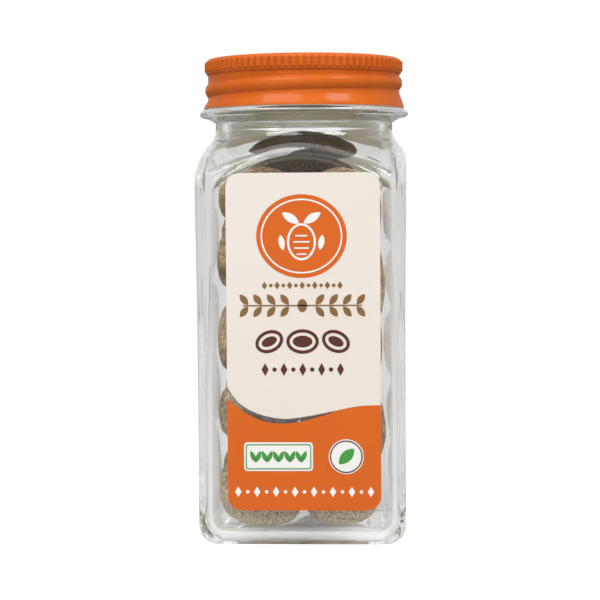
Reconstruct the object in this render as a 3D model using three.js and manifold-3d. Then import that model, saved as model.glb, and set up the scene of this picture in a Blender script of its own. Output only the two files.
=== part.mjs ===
// A square glass spice jar with a metal screw cap, a printed film label and whole nutmegs inside.
// Units are millimetres. +Z is up, the label faces -Y, and the jar stands on Z = 0.

import * as THREE from 'three';
import { mergeVertices } from 'three/addons/utils/BufferGeometryUtils.js';
import Module from 'manifold-3d';

// ---- Jar ----
const BODY_HALF = 24.0;         // half the width across the flat faces
const SHOULDER_PROUD = 0.25;    // how far the side faces swell just under the shoulder
const SWELL_BOTTOM = 48;
const SWELL_TOP = 84;
const CORNER_RADIUS = 5.0;      // vertical corners of the square body
const HEEL_RADIUS = 4.3;        // round between the body and the foot
const FOOT_WIDTH = 3.6;         // flat ring that the jar stands on
const PUSH_UP = 0.5;            // how far the middle of the base is raised
const PUSH_UP_SLOPE = 2.5;
const WALL = 2.65;
const BASE_THICKNESS = 2.0;
const INNER_CORNER_RADIUS = 3.2;
const INNER_HEEL_RADIUS = 3.6;
const NECK_RADIUS = 21.05;
const MOUTH_RADIUS = 18.2;
const SHOULDER_BOTTOM = 82.0;
const SHOULDER_TOP = 96.0;
const INNER_SHOULDER_BOTTOM = 80.5;
const INNER_SHOULDER_TOP = 96.0;
const SHOULDER_OVERREACH = 1.4; // the shoulder's dome ends this far outside the corners
const SHOULDER_BLEND = 2.2;     // softness of the edge between the dome and the flat faces
const NECK_TOP = 97.9;
const NECK_BLEND = 0.4;         // softness of the neck's turn into the slope under the bead
const BEAD_SLOPE = 1.75;        // how fast that slope widens with height
const BEAD_RADIUS = 24.85;      // ring below the cap
const BEAD_BOTTOM = 99.15;
const BEAD_MIDDLE = 100.0;
const BEAD_TOP = 100.75;
const BEAD_ROUND = 1.0;
const FINISH_RADIUS = 21.7;     // outside of the mouth, inside the cap
const LIP_TOP = 112.2;
const LIP_ROUND = 0.8;
const JAR_COLUMNS = 56;
const CORNER_CROWDING = 0.6;    // 0 spaces the columns evenly, 1 puts them all in the corners

// ---- Cap ----
const CAP_BOTTOM = 101.05;
const CAP_TOP = 113.05;
const CAP_INNER_RADIUS = 22.2;
const CAP_ROOF = 0.5;
const CAP_RADIUS = 23.62;       // over the grip teeth
const CAP_EDGE_ROUND = 1.4;
const GROOVE_RADIUS = 22.8;     // foot of the rolled thread's groove
const SKIRT_EDGE_RADIUS = 23.9;
const CURL_ROUND = 0.35;
const THREAD_PITCH = 3.3;
const THREAD_DEPTH = 0.7;
const THREAD_CREST = 106.2;     // height of the rolled thread at the front
const THREAD_TOP = 109.6;
const THREAD_FADE = 0.6;
const THREAD_START = 0.5;
const RUN_OUT = 0.55;           // where the thread starts to run out, in half turns from the front
const LEDGE_POWER = 3;          // the thread is steep over a groove
const SLOPE_POWER = 1.5;        // and slopes back evenly under a crest
const BAND_BOTTOM = 109.8;
const BAND_TOP = 112.35;
const BAND_INSET = 0.1;         // the shell stays this far behind the foot of the teeth
const TOOTH_COUNT = 86;
const TOOTH_DEPTH = 0.38;
const GRIP_FOOT = CAP_RADIUS - TOOTH_DEPTH;
const CAP_COLUMNS = 60;

// ---- Label ----
const LABEL_WIDTH = 35.1;
const LABEL_BOTTOM = 8.6;
const LABEL_TOP = 85.8;
const LABEL_SHIFT = 0.8;        // the label sits a little right of the middle
const LABEL_CORNER = 3.3;
const FILM_THICKNESS = 0.06;
const INK_THICKNESS = 0.04;
const SKIN_GAP = 0.02;
const WAVE_STEPS = 24;

// ---- Nutmegs ----
const NUT_SEGMENTS = 12;
const NUT_RINGS = 8;
const EGG = 0.08;               // how much thicker one end of a nutmeg is
const GLASS_GAP = 0.5;
const END_SPHERE = 0.8;         // the ends' rounding, as a share of a nutmeg's radius
const SETTLE_STEPS = 600;
const SETTLE_DROP = 0.03;
const HOLD = 0.02;              // pull back to where a nutmeg started, per step
const HOLD_TURN = 0.04;         // the same for its long axis
const TOUCH_GAP = 0.3;
const CORE_HALF = 8.0;          // block in the middle that joins the nutmegs into one heap
const CORE_BOTTOM = 9;
const CORE_TOP = 84;

const wasm = await Module();
wasm.setup();

// ---- Helpers ----

const smoothstep = (t) => {
  const u = Math.min(Math.max(t, 0), 1);
  return u * u * (3 - 2 * u);
};

// The smaller of two lengths, with a soft change from one to the other.
const softMin = (a, b, blend) => {
  const overlap = Math.max(blend - Math.abs(a - b), 0);
  return Math.min(a, b) - (overlap * overlap) / (4 * blend);
};

// A closed surface through rings of points, listed from the outside of the base, over the top.
// A ring of one point closes the surface there.
function ringSolid(rings) {
  const positions = [];
  const starts = [];
  for (const ring of rings) {
    starts.push(positions.length / 3);
    for (const point of ring) positions.push(...point);
  }
  const indices = [];
  for (let k = 0; k + 1 < rings.length; k++) {
    const lower = rings[k];
    const upper = rings[k + 1];
    const count = Math.max(lower.length, upper.length);
    for (let j = 0; j < count; j++) {
      const next = (j + 1) % count;
      const a = starts[k] + (lower.length === 1 ? 0 : j);
      const b = starts[k] + (lower.length === 1 ? 0 : next);
      const c = starts[k + 1] + (upper.length === 1 ? 0 : next);
      const d = starts[k + 1] + (upper.length === 1 ? 0 : j);
      if (lower.length > 1) indices.push(a, b, c);
      if (upper.length > 1) indices.push(a, c, d);
    }
  }
  const geometry = new THREE.BufferGeometry();
  geometry.setAttribute('position', new THREE.Float32BufferAttribute(positions, 3));
  geometry.setIndex(indices);
  return geometry;
}

function toManifold(geometry) {
  const bare = geometry.clone();
  bare.deleteAttribute('normal');
  bare.deleteAttribute('uv');
  const merged = mergeVertices(bare);
  return new wasm.Manifold(new wasm.Mesh({
    numProp: 3,
    vertProperties: new Float32Array(merged.attributes.position.array),
    triVerts: new Uint32Array(merged.index.array),
  }));
}

function fromManifold(solid) {
  const mesh = solid.getMesh();
  const geometry = new THREE.BufferGeometry();
  geometry.setAttribute('position', new THREE.BufferAttribute(new Float32Array(mesh.vertProperties), 3));
  geometry.setIndex(new THREE.BufferAttribute(new Uint32Array(mesh.triVerts), 1));
  return geometry;
}

function named(name, geometry, color, roughness, metalness = 0, opacity = 1) {
  const material = new THREE.MeshStandardMaterial({
    color, roughness, metalness, opacity, transparent: opacity < 1,
  });
  const mesh = new THREE.Mesh(geometry, material);
  mesh.name = name;
  return mesh;
}

// ---- Jar ----

// Distance from the axis to a rounded square, along the direction at an angle.
function squareReach(angle, half, corner) {
  const quarter = Math.PI / 2;
  const folded = Math.abs(((angle % quarter) + quarter) % quarter - quarter / 2);
  const along = Math.PI / 4 - folded;
  const middle = half - corner;
  if (half * Math.tan(along) <= middle) return half / Math.cos(along);
  const c = Math.cos(along);
  const s = Math.sin(along);
  return middle * (c + s) + Math.sqrt(corner * corner - middle * middle * (c - s) * (c - s));
}

// Column angles, crowded towards the corners.
const jarAngles = [];
for (let j = 0; j < JAR_COLUMNS; j++) {
  const even = (j / JAR_COLUMNS) * 2 * Math.PI;
  jarAngles.push(even + (CORNER_CROWDING / 4) * Math.sin(4 * even));
}

// One ring of a square section: shrunk by an inset, cut by the shoulder's dome, swollen in X.
function squareRing(z, { half, corner, inset = 0, dome = Infinity, swell = 0 }) {
  return jarAngles.map((angle) => {
    const reach = squareReach(angle, half - inset, Math.max(corner - inset, 0.4));
    const radius = dome === Infinity ? reach : softMin(dome, reach, SHOULDER_BLEND);
    const x = radius * Math.cos(angle);
    const stretch = 1 + swell / half;
    return [dome < half ? x : x * stretch, radius * Math.sin(angle), z];
  });
}

const roundRing = (z, radius) => jarAngles.map((a) => [radius * Math.cos(a), radius * Math.sin(a), z]);

const swellAt = (z) => SHOULDER_PROUD * smoothstep((z - SWELL_BOTTOM) / (SWELL_TOP - SWELL_BOTTOM))
  * smoothstep((SHOULDER_TOP - 4 - z) / 5);

// Inset of a heel's quarter round, at a height above the foot.
const heelInset = (z, radius) => radius - Math.sqrt(radius * radius - (radius - z) ** 2);

const reachOfCorner = (half, corner) => (half - corner) * Math.SQRT2 + corner;

function domeRadius(z, neck, reach, bottom, top) {
  return neck + (reach - neck) * smoothstep((top - z) / (top - bottom));
}

// Outside of the neck and of the slope between it and the bead.
const neckRadius = (z) => NECK_RADIUS - softMin((NECK_TOP - z) * BEAD_SLOPE, 0, NECK_BLEND);

function jarGeometry() {
  const outer = { half: BODY_HALF, corner: CORNER_RADIUS };
  const innerHalf = BODY_HALF - WALL;
  const inner = { half: innerHalf, corner: INNER_CORNER_RADIUS };
  const rings = [];

  // Base: the raised middle, the flat foot and the heel.
  const footInset = HEEL_RADIUS + FOOT_WIDTH;
  rings.push([[0, 0, PUSH_UP]]);
  rings.push(squareRing(PUSH_UP, { ...outer, inset: footInset + PUSH_UP_SLOPE }));
  rings.push(squareRing(0, { ...outer, inset: footInset }));
  rings.push(squareRing(0, { ...outer, inset: HEEL_RADIUS }));
  for (const turn of [25, 45, 65]) {
    const z = HEEL_RADIUS * (1 - Math.cos(THREE.MathUtils.degToRad(turn)));
    rings.push(squareRing(z, { ...outer, inset: heelInset(z, HEEL_RADIUS) }));
  }
  rings.push(squareRing(HEEL_RADIUS, outer));

  // Body, with its faint swelling towards the shoulder.
  for (const z of [SWELL_BOTTOM, 60, 70, 78]) {
    rings.push(squareRing(z, { ...outer, swell: swellAt(z) }));
  }

  // Shoulder: a dome that cuts the square off, down to the round neck.
  const outerReach = reachOfCorner(BODY_HALF, CORNER_RADIUS) + SHOULDER_OVERREACH;
  for (let z = SHOULDER_BOTTOM; z < SHOULDER_TOP; z += 1.4) {
    const dome = domeRadius(z, NECK_RADIUS, outerReach, SHOULDER_BOTTOM, SHOULDER_TOP);
    rings.push(squareRing(z, { ...outer, dome, swell: swellAt(z) }));
  }
  rings.push(roundRing(SHOULDER_TOP, NECK_RADIUS));

  // Neck, bead, finish and lip.
  const neckRows = 3;
  const slopeStart = NECK_TOP - NECK_BLEND / 2;
  for (let k = 0; k <= neckRows; k++) {
    const z = slopeStart + ((BEAD_BOTTOM - slopeStart) * k) / neckRows;
    rings.push(roundRing(z, neckRadius(z)));
  }
  const beadFoot = BEAD_RADIUS - BEAD_ROUND;
  const half = Math.SQRT1_2;
  rings.push(roundRing(BEAD_BOTTOM, beadFoot));
  rings.push(roundRing(BEAD_MIDDLE - (BEAD_MIDDLE - BEAD_BOTTOM) * half, beadFoot + BEAD_ROUND * half));
  rings.push(roundRing(BEAD_MIDDLE, BEAD_RADIUS));
  rings.push(roundRing(BEAD_MIDDLE + (BEAD_TOP - BEAD_MIDDLE) * half, beadFoot + BEAD_ROUND * half));
  rings.push(roundRing(BEAD_TOP, beadFoot));
  rings.push(roundRing(BEAD_TOP, FINISH_RADIUS));
  rings.push(roundRing(LIP_TOP - LIP_ROUND, FINISH_RADIUS));
  rings.push(roundRing(LIP_TOP, FINISH_RADIUS - LIP_ROUND));
  rings.push(roundRing(LIP_TOP, MOUTH_RADIUS + LIP_ROUND));
  rings.push(roundRing(LIP_TOP - LIP_ROUND, MOUTH_RADIUS));

  // Inside, from the mouth down to the floor.
  rings.push(roundRing(INNER_SHOULDER_TOP, MOUTH_RADIUS));
  const innerReach = reachOfCorner(innerHalf, INNER_CORNER_RADIUS) + SHOULDER_OVERREACH;
  for (let z = INNER_SHOULDER_TOP - 1.5; z > INNER_SHOULDER_BOTTOM; z -= 1.6) {
    const dome = domeRadius(z, MOUTH_RADIUS, innerReach, INNER_SHOULDER_BOTTOM, INNER_SHOULDER_TOP);
    rings.push(squareRing(z, { ...inner, dome }));
  }
  rings.push(squareRing(INNER_SHOULDER_BOTTOM, inner));
  rings.push(squareRing(BASE_THICKNESS + INNER_HEEL_RADIUS, inner));
  for (const turn of [60, 30]) {
    const rise = INNER_HEEL_RADIUS * (1 - Math.cos(THREE.MathUtils.degToRad(turn)));
    rings.push(squareRing(BASE_THICKNESS + rise, { ...inner, inset: heelInset(rise, INNER_HEEL_RADIUS) }));
  }
  rings.push(squareRing(BASE_THICKNESS, { ...inner, inset: INNER_HEEL_RADIUS }));
  rings.push([[0, 0, BASE_THICKNESS]]);
  return ringSolid(rings);
}

// ---- Cap ----

// Outside of the skirt: a right-hand thread rolled into the metal, over an edge that flares out.
// The turn is 0 at the front, and the thread runs out at the back.
function skirtRadius(angle, z) {
  const turn = ((angle / Math.PI + 1.5) % 2) - 1;
  const crest = THREAD_CREST + (THREAD_PITCH * turn) / 2;
  const start = crest - THREAD_PITCH * (0.5 + smoothstep((turn - RUN_OUT) / (1 - RUN_OUT)));
  const turns = (z - crest) / THREAD_PITCH;
  const phase = turns - Math.round(turns);
  const ridge = 1 - Math.abs(2 * phase) ** (phase > 0 ? LEDGE_POWER : SLOPE_POWER);
  const thread = GROOVE_RADIUS + THREAD_DEPTH * ridge * smoothstep((z - start) / THREAD_START);
  const underGrip = smoothstep((z - THREAD_TOP + THREAD_FADE) / THREAD_FADE);
  const flare = smoothstep((start - z) / (start - CAP_BOTTOM));
  const wall = thread + (GRIP_FOOT - BAND_INSET - thread) * underGrip;
  return wall + (SKIRT_EDGE_RADIUS - GROOVE_RADIUS) * flare;
}

function capShellGeometry() {
  const ring = (z, radiusAt) => {
    const points = [];
    for (let j = 0; j < CAP_COLUMNS; j++) {
      const angle = (j / CAP_COLUMNS) * 2 * Math.PI;
      const radius = typeof radiusAt === 'number' ? radiusAt : radiusAt(angle, z);
      points.push([radius * Math.cos(angle), radius * Math.sin(angle), z]);
    }
    return points;
  };
  const bandRadius = GRIP_FOOT - BAND_INSET;
  const rings = [];
  rings.push([[0, 0, CAP_TOP - CAP_ROOF]]);
  rings.push(ring(CAP_TOP - CAP_ROOF, CAP_INNER_RADIUS));
  rings.push(ring(CAP_BOTTOM, CAP_INNER_RADIUS));
  rings.push(ring(CAP_BOTTOM, SKIRT_EDGE_RADIUS - CURL_ROUND));
  rings.push(ring(CAP_BOTTOM + CURL_ROUND, SKIRT_EDGE_RADIUS));
  const skirtRows = 15;
  const skirtStart = CAP_BOTTOM + 0.8;
  for (let k = 0; k <= skirtRows; k++) {
    rings.push(ring(skirtStart + ((THREAD_TOP - skirtStart) * k) / skirtRows, skirtRadius));
  }
  rings.push(ring(BAND_BOTTOM + 0.1, bandRadius));
  rings.push(ring(CAP_TOP - CAP_EDGE_ROUND, bandRadius));
  for (const turn of [30, 60, 90]) {
    const t = THREE.MathUtils.degToRad(turn);
    const radius = bandRadius - CAP_EDGE_ROUND * (1 - Math.cos(t));
    rings.push(ring(CAP_TOP - CAP_EDGE_ROUND * (1 - Math.sin(t)), radius));
  }
  rings.push([[0, 0, CAP_TOP]]);
  return ringSolid(rings);
}

// The grip: a toothed ring round the cap's upper edge.
function gripGeometry() {
  const outline = new THREE.Shape();
  const step = (2 * Math.PI) / TOOTH_COUNT;
  for (let k = 0; k < TOOTH_COUNT; k++) {
    for (const [share, radius] of [[0, GRIP_FOOT], [0.5, CAP_RADIUS]]) {
      const angle = (k + share) * step;
      const x = radius * Math.cos(angle);
      const y = radius * Math.sin(angle);
      if (k === 0 && share === 0) outline.moveTo(x, y);
      else outline.lineTo(x, y);
    }
  }
  outline.closePath();
  const hole = new THREE.Path();
  hole.absarc(0, 0, CAP_INNER_RADIUS + 0.4, 0, 2 * Math.PI, true);
  outline.holes.push(hole);
  const geometry = new THREE.ExtrudeGeometry(outline, {
    depth: BAND_TOP - BAND_BOTTOM, bevelEnabled: false, curveSegments: CAP_COLUMNS,
  });
  geometry.translate(0, 0, BAND_BOTTOM);
  return geometry;
}

const capGeometry = () => fromManifold(toManifold(capShellGeometry()).add(toManifold(gripGeometry())));

// ---- Label ----

// Heights of the two waves that part the cream field, the clear stripe and the orange field.
const LABEL_LEFT = LABEL_SHIFT - LABEL_WIDTH / 2;
const LABEL_RIGHT = LABEL_SHIFT + LABEL_WIDTH / 2;
const wave = (points) => new THREE.SplineCurve(points.map(([x, z]) => new THREE.Vector2(x, z)));
const creamWave = wave([
  [LABEL_LEFT, 37.1], [-14.2, 33.5], [-10.1, 31.0], [-5.1, 29.8], [-1.7, 29.8],
  [3.3, 30.6], [8.3, 31.6], [13.3, 32.6], [LABEL_RIGHT, 32.8],
]);
const orangeWave = wave([
  [LABEL_LEFT, 34.2], [-14.2, 32.2], [-10.8, 30.1], [-7.8, 29.0], [-4.4, 28.6],
  [-0.1, 29.0], [3.3, 29.9], [6.9, 31.0], [7.9, 31.4],
]);

// The label's outline between two heights, with the corners rounded at the ends that need it.
function labelOutline(lowerEdge, upperEdge) {
  const points = [];
  const r = LABEL_CORNER;
  const corner = (x, y, start) => {
    for (let k = 0; k <= 6; k++) {
      const a = start + (k / 6) * (Math.PI / 2);
      points.push(new THREE.Vector2(x + r * Math.cos(a), y + r * Math.sin(a)));
    }
  };
  if (lowerEdge) {
    points.push(...lowerEdge);
  } else {
    corner(LABEL_LEFT + r, LABEL_BOTTOM + r, Math.PI);
    corner(LABEL_RIGHT - r, LABEL_BOTTOM + r, 1.5 * Math.PI);
  }
  if (upperEdge) {
    points.push(...[...upperEdge].reverse());
  } else {
    corner(LABEL_RIGHT - r, LABEL_TOP - r, 0);
    corner(LABEL_LEFT + r, LABEL_TOP - r, 0.5 * Math.PI);
  }
  return new THREE.Shape(points);
}

// A thin plate in front of the jar's face, set off from it by a distance.
function skinGeometry(shape, distance, thickness) {
  const geometry = new THREE.ExtrudeGeometry(shape, { depth: thickness, bevelEnabled: false });
  geometry.rotateX(Math.PI / 2);
  geometry.translate(0, -BODY_HALF - distance, 0);
  return geometry;
}

const creamEdge = creamWave.getPoints(WAVE_STEPS);

// The orange field rises to the cream one and then runs along it.
function orangeEdge() {
  const apart = orangeWave.getPoints(WAVE_STEPS);
  const end = apart[apart.length - 1].x;
  const along = creamEdge.filter((p) => p.x > end + 0.8);
  return [...apart, ...along.map((p) => new THREE.Vector2(p.x, p.y - SKIN_GAP))];
}

// ---- Nutmegs ----

// Where each nutmeg starts: middle, length, diameter, and its long axis' turn and rise in degrees.
const nutmegs = [
  // bottom layer
  { at: [-9.8, -12.2, 10.7], length: 22.4, diameter: 16.8, turn: 2, rise: -4 },
  { at: [7.4, -12.0, 10.2], length: 20.0, diameter: 16.0, turn: -6, rise: 0 },
  { at: [-12.8, 7.0, 14.6], length: 23.0, diameter: 16.2, turn: 60, rise: 78 },
  { at: [4.6, 11.8, 11.0], length: 23.2, diameter: 17.4, turn: 12, rise: 20 },
  // second layer
  { at: [-10.8, -12.4, 33.0], length: 20.2, diameter: 15.6, turn: 6, rise: 0 },
  { at: [14.0, -12.6, 27.4], length: 18.6, diameter: 15.8, turn: 80, rise: 88 },
  { at: [8.0, 10.8, 28.6], length: 21.4, diameter: 16.6, turn: 4, rise: -14 },
  { at: [-11.4, 9.6, 35.4], length: 21.0, diameter: 16.6, turn: 75, rise: 20 },
  // third layer
  { at: [-12.8, -12.0, 49.6], length: 19.6, diameter: 16.2, turn: -60, rise: 88 },
  { at: [8.2, -12.2, 43.2], length: 20.0, diameter: 16.4, turn: -12, rise: 6 },
  { at: [11.6, 9.4, 44.2], length: 22.4, diameter: 17.0, turn: 80, rise: 24 },
  { at: [-8.6, 10.8, 51.8], length: 22.0, diameter: 17.2, turn: 20, rise: -22 },
  // fourth layer
  { at: [-11.6, -12.4, 67.2], length: 19.0, diameter: 15.6, turn: 4, rise: 2 },
  { at: [12.2, -11.5, 61.8], length: 23.2, diameter: 16.8, turn: 70, rise: 76 },
  { at: [-11.8, 4.6, 73.0], length: 22.0, diameter: 16.6, turn: 85, rise: 6 },
  { at: [9.8, 11.2, 61.8], length: 21.2, diameter: 16.6, turn: -20, rise: 12 },
  // top
  { at: [-10.4, -9.8, 80.0], length: 20.4, diameter: 14.4, turn: 24, rise: 4 },
  { at: [9.8, -10.6, 78.0], length: 20.6, diameter: 16.6, turn: 50, rise: 32 },
  { at: [11.4, 10.8, 75.2], length: 20.4, diameter: 16.0, turn: 30, rise: -10 },
  { at: [-0.6, 3.4, 88.8], length: 27.6, diameter: 15.8, turn: 3, rise: 0 },
];

// Settles the nutmegs in the jar: each is three spheres on one axis that drop, touch and turn.
function settle() {
  const bodies = nutmegs.map(({ at, length, diameter, turn, rise }) => {
    const t = THREE.MathUtils.degToRad(turn);
    const r = THREE.MathUtils.degToRad(rise);
    const radius = diameter / 2;
    const endRadius = radius * END_SPHERE;
    const axis = new THREE.Vector3(Math.cos(t) * Math.cos(r), Math.sin(t) * Math.cos(r), Math.sin(r));
    return {
      home: new THREE.Vector3(...at),
      middle: new THREE.Vector3(...at),
      homeAxis: axis.clone(),
      axis,
      half: length / 2,
      reach: length / 2 - endRadius,
      radii: [endRadius, radius, endRadius],
    };
  });
  const wall = BODY_HALF - WALL - GLASS_GAP;
  const floor = BASE_THICKNESS + GLASS_GAP;
  const domeHalf = reachOfCorner(BODY_HALF - WALL, INNER_CORNER_RADIUS) - GLASS_GAP;

  const clampTo = (value, limit) => Math.min(Math.max(value, -limit), limit);
  const keepInside = (p, r) => {
    p.x = clampTo(p.x, wall - r);
    p.y = clampTo(p.y, wall - r);
    p.z = Math.max(p.z, floor + r);
    const room = domeRadius(p.z + 0.7 * r, MOUTH_RADIUS, domeHalf,
      INNER_SHOULDER_BOTTOM, INNER_SHOULDER_TOP) - GLASS_GAP - 0.75 * r;
    const out = Math.hypot(p.x, p.y);
    if (out > room) {
      p.x *= room / out;
      p.y *= room / out;
    }
  };
  // How far a nutmeg reaches from its middle along one of the jar's axes.
  const extent = (body, part) => Math.hypot(body.half * part, body.radii[1] * Math.sqrt(1 - part * part));

  for (let step = 0; step < SETTLE_STEPS; step++) {
    const pull = 1 - step / SETTLE_STEPS;
    for (const body of bodies) {
      body.middle.z -= SETTLE_DROP * pull;
      body.middle.addScaledVector(body.home.clone().sub(body.middle), HOLD * pull);
      body.axis.addScaledVector(body.homeAxis, HOLD_TURN * pull).normalize();
      body.points = [-1, 0, 1].map((s) => body.middle.clone().addScaledVector(body.axis, s * body.reach));
    }
    for (let i = 0; i < bodies.length; i++) {
      for (let j = i + 1; j < bodies.length; j++) {
        const near = bodies[i].half + bodies[j].half + TOUCH_GAP;
        if (bodies[i].middle.distanceTo(bodies[j].middle) > near) continue;
        for (let a = 0; a < 3; a++) {
          for (let b = 0; b < 3; b++) {
            const p = bodies[i].points[a];
            const q = bodies[j].points[b];
            const apart = p.clone().sub(q);
            const overlap = bodies[i].radii[a] + bodies[j].radii[b] + TOUCH_GAP - apart.length();
            if (overlap <= 0) continue;
            apart.setLength(overlap / 2);
            p.add(apart);
            q.sub(apart);
          }
        }
      }
    }
    for (const body of bodies) {
      body.points.forEach((p, k) => keepInside(p, body.radii[k]));
      const [low, centre, high] = body.points;
      body.axis.copy(high).sub(low).normalize();
      body.middle.copy(low).add(high).addScaledVector(centre, 2).multiplyScalar(0.25);
      body.middle.x = clampTo(body.middle.x, wall - extent(body, body.axis.x));
      body.middle.y = clampTo(body.middle.y, wall - extent(body, body.axis.y));
      body.middle.z = Math.max(body.middle.z, floor + extent(body, body.axis.z));
    }
  }
  return bodies;
}

// One nutmeg: an egg, thicker at its lower end, with few sides.
function nutmegGeometry({ length, diameter }, { middle, axis }) {
  const geometry = new THREE.SphereGeometry(1, NUT_SEGMENTS, NUT_RINGS);
  const p = geometry.attributes.position;
  for (let k = 0; k < p.count; k++) {
    const along = p.getY(k);
    const thick = (diameter / 2) * (1 - EGG * along);
    p.setXYZ(k, p.getX(k) * thick, (along * length) / 2, p.getZ(k) * thick);
  }
  geometry.applyQuaternion(new THREE.Quaternion().setFromUnitVectors(new THREE.Vector3(0, 1, 0), axis));
  geometry.translate(middle.x, middle.y, middle.z);
  return geometry;
}

function heapGeometry() {
  const bodies = settle();
  const core = new THREE.BoxGeometry(2 * CORE_HALF, 2 * CORE_HALF, CORE_TOP - CORE_BOTTOM);
  core.translate(0, 0, (CORE_TOP + CORE_BOTTOM) / 2);
  let heap = toManifold(core);
  nutmegs.forEach((nut, k) => {
    heap = heap.add(toManifold(nutmegGeometry(nut, bodies[k])));
  });
  return fromManifold(heap);
}

// ---- Assembly ----

const group = new THREE.Group();
group.add(named('jar_glass', jarGeometry(), 0xe8ecea, 0.03, 0, 0.3));
group.add(named('screw_cap', capGeometry(), 0xd7662a, 0.3, 0.2));
group.add(named('nutmegs', heapGeometry(), 0x9a7d58, 0.85));

const filmDistance = SKIN_GAP + FILM_THICKNESS;
group.add(named('label_film', skinGeometry(labelOutline(), SKIN_GAP, FILM_THICKNESS), 0xffffff, 0.2, 0, 0.2));
const inkDistance = filmDistance + SKIN_GAP;
group.add(named('label_cream_field',
  skinGeometry(labelOutline(creamEdge, null), inkDistance, INK_THICKNESS), 0xf0e8de, 0.4));
group.add(named('label_orange_field',
  skinGeometry(labelOutline(null, orangeEdge()), inkDistance, INK_THICKNESS), 0xde6b2d, 0.4));

export default group;
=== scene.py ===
# The looks of a square glass spice jar of whole nutmegs: clear glass, an orange lacquered screw cap,
# a printed film label and the nutmegs. Lengths are in millimetres and become metres in a mesh.

import math

import bpy
import numpy as np
from mathutils import Euler, Matrix, Vector, noise


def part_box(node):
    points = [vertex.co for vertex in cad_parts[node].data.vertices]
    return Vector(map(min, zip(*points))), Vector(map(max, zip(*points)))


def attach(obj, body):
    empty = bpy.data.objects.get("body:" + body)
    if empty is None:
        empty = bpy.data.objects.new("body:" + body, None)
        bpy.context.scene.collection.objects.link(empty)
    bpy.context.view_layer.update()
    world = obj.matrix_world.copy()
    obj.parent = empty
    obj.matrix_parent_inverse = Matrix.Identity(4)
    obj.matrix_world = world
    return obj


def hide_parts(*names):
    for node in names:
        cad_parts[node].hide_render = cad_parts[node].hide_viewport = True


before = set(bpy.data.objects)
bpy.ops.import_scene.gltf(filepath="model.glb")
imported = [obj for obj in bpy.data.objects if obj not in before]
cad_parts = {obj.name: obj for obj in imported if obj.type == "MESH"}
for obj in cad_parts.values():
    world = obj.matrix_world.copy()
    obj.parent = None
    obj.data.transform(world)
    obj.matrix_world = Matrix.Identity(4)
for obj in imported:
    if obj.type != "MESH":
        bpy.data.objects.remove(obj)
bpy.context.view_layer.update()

MM = 0.001
TOLERANCE = 0.01                # where two lengths are compared


def box_mm(node):
    low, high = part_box(node)
    return low / MM, high / MM


# ---- Jar ----
BODY_HALF = 24.0
CORNER_RADIUS = 5.0
SHARPEST_CORNER = 0.4           # what an inset leaves of the corners' radius at least
SHOULDER_PROUD = 0.25           # how far the sides swell out towards the shoulder
SWELL_BOTTOM = 48
SWELL_TOP = 84
SWELL_END = 4                   # the swell is gone this far under the shoulder's top
SWELL_RUN_OUT = 5
HEEL_RADIUS = 4.3
FOOT_WIDTH = 3.6                # of the flat ring that the jar stands on
PUSH_UP = 0.5                   # how far the base is raised inside that ring
PUSH_UP_SLOPE = 2.5             # width of the slope up to there
BASE_INSETS = (20, 16, 13)      # rings across the flat middle of the base
WALL = 2.65
BASE_THICKNESS = 2.0
INNER_CORNER_RADIUS = 3.2
INNER_HEEL_RADIUS = 3.6
INNER_BASE_INSETS = (6, 10, 15)
NECK_RADIUS = 21.05
MOUTH_RADIUS = 18.2
SHOULDER_BOTTOM = 82.0
SHOULDER_TOP = 96.0
INNER_SHOULDER_BOTTOM = 80.5
INNER_SHOULDER_TOP = 96.0
SHOULDER_OVERREACH = 1.4        # how far the dome of the shoulder starts outside the corners
SHOULDER_BLEND = 2.2            # softness of the turn between that dome and the sides
NECK_TOP = 97.9
BEAD_RADIUS = box_mm("jar_glass")[1].x
NECK_BLEND = 0.4                # softness of the neck's turn into the slope under the bead
BEAD_SLOPE = 1.75               # how fast that slope widens with height
BEAD_BOTTOM = 99.15
BEAD_MIDDLE = 100.05
BEAD_TOP = 100.93
BEAD_ROUND = 1.0
FINISH_RADIUS = 21.7            # of the glass inside the cap
FINISH_FOOT = 0.2               # how much wider it is where it meets the bead
LIP_TOP = box_mm("jar_glass")[1].z
LIP_ROUND = 0.8
JAR_COLUMNS = 288
CORNER_CROWDING = 0.6           # how much closer the columns stand at the corners
GLASS_RIPPLE = 0.1              # how far the inside of the blown glass strays from true
RIPPLE_TURNS = 3.5              # how quickly the ripples change round the jar
RIPPLE_LENGTH = 60              # and up it
RIPPLE_FADE = 10                # they set in over this height under the shoulder's top
RIPPLE_HEEL = 4                 # and over this height above the floor
BASE_RINGS = 10
HEEL_RINGS = 14
BODY_RINGS = 6
SWELL_RINGS = 16
SHOULDER_RINGS = 52
INNER_SHOULDER_RINGS = 48
INNER_BODY_RINGS = 30
NECK_RINGS = 3
SLOPE_RINGS = 20
BEAD_RINGS = 10
LIP_RINGS = 6
MOUTH_RINGS = 4
EDGE_GAP = 0.1                  # between a ring on an edge and the next
WALL_GAP = 1.0                  # between a bend and the first ring on a straight wall
INNER_WALL_GAP = 1.5            # and under the inside of the shoulder

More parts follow.
